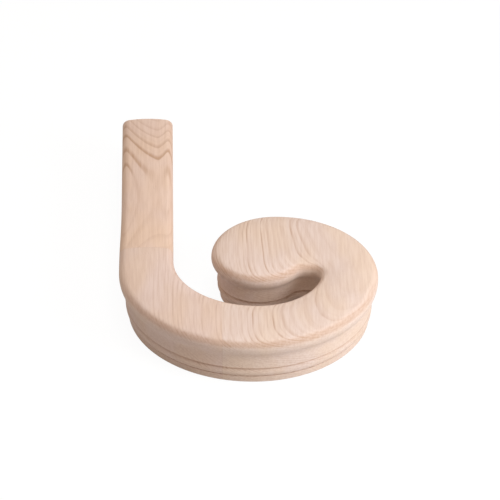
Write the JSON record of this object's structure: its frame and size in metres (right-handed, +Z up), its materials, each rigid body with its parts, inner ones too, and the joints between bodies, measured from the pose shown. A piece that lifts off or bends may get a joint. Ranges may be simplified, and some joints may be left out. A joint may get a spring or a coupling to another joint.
{
  "type": "handrail volute",
  "caption": "Level right-hand handrail volute in unfinished wood: a moulded rail that turns and curls into a round eye over the newel post.",
  "frame": {"origin": "centre of the round eye on the flat underside, where the newel post's top meets it", "axes": "+Z up, +Y along the straight shank towards its free end, +X across the shank towards the eye"},
  "size_m": [0.281, 0.4395, 0.0585],
  "materials": {
    "stub_wood": "bare sanded pale hardwood, flat-sawn",
    "turn_wood": "bare sanded pale hardwood, fine straight grain",
    "scroll_wood": "bare sanded pale hardwood, fine grain"
  },
  "bodies": {
    "root": {"rail_stub": "stub_wood", "turn_block": "turn_wood", "scroll_block": "scroll_wood"}
  },
  "joints": []
}
